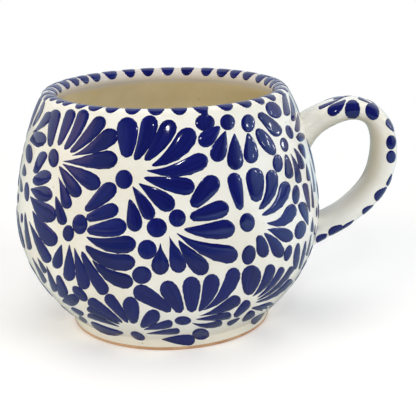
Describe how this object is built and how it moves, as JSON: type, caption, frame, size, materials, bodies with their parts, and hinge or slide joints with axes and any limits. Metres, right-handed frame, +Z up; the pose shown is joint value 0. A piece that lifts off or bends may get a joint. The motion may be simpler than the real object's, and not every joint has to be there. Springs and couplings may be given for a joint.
{
  "type": "coffee mug",
  "caption": "Round-bellied tin-glazed earthenware mug with a rolled lip, turned foot and pulled strap handle, painted in cobalt petal fans; holds a hot drink.",
  "frame": {"origin": "middle of the footprint of body and handle together, on the plane that the foot ring stands on", "axes": "+Z up along the vessel's axis, +X from the vessel's axis towards the handle"},
  "size_m": [0.1336, 0.106, 0.083],
  "materials": {
    "clay": "bare fired earthenware",
    "tin_glaze": "glossy cream-white tin glaze",
    "liner_glaze": "glossy cream liner glaze",
    "cobalt": "glossy raised cobalt brushwork"
  },
  "bodies": {
    "root": {"thrown_body": "clay", "outer_glaze": "tin_glaze", "inner_glaze": "liner_glaze", "foot_recess_glaze": "tin_glaze", "handle_strap": "clay", "handle_glaze": "tin_glaze", "upper_slip_joint": "tin_glaze", "lower_slip_joint": "tin_glaze"}
  },
  "joints": []
}
